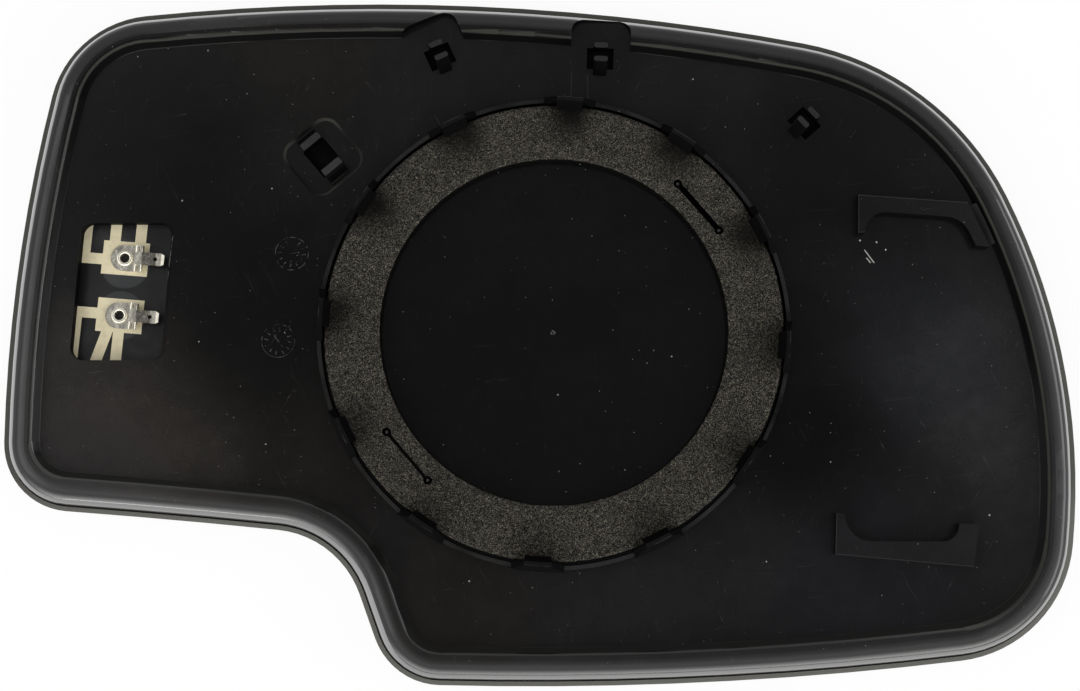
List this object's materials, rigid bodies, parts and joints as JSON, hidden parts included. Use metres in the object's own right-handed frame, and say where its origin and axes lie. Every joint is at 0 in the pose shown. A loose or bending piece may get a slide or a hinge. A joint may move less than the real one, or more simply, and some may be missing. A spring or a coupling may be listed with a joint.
{
  "type": "car door mirror glass",
  "caption": "Heated left-hand door mirror glass: shaped glass in a black backing plate with a rolled rim, a ring of snap hooks round a foam ring, clip sockets and blade terminals.",
  "frame": {"origin": "below the middle of the rim's box, on the front face of the lip, where the glass lies face down", "axes": "+X towards the outer end of the mirror, +Y towards its top edge, +Z out of the back"},
  "size_m": [0.2376, 0.1534, 0.015],
  "materials": {
    "black_moulding": "satin black moulding, scuffed",
    "mirror": "silvered flat glass",
    "heater_film": "black polyester film",
    "bonding_sheet": "double-sided bonding sheet",
    "foam": "open-cell foam, brown grey",
    "silver_print": "printed conductor, cream",
    "tinned_metal": "tinned, slightly tarnished"
  },
  "bodies": {
    "root": {"backing_plate": "black_moulding", "mirror_glass": "mirror", "heater_film": "heater_film", "bonding_sheet": "bonding_sheet", "foam_ring": "foam", "upper_trace": "silver_print", "lower_trace": "silver_print", "upper_terminal": "tinned_metal", "lower_terminal": "tinned_metal", "upper_rivet": "tinned_metal", "lower_rivet": "tinned_metal"}
  },
  "joints": []
}
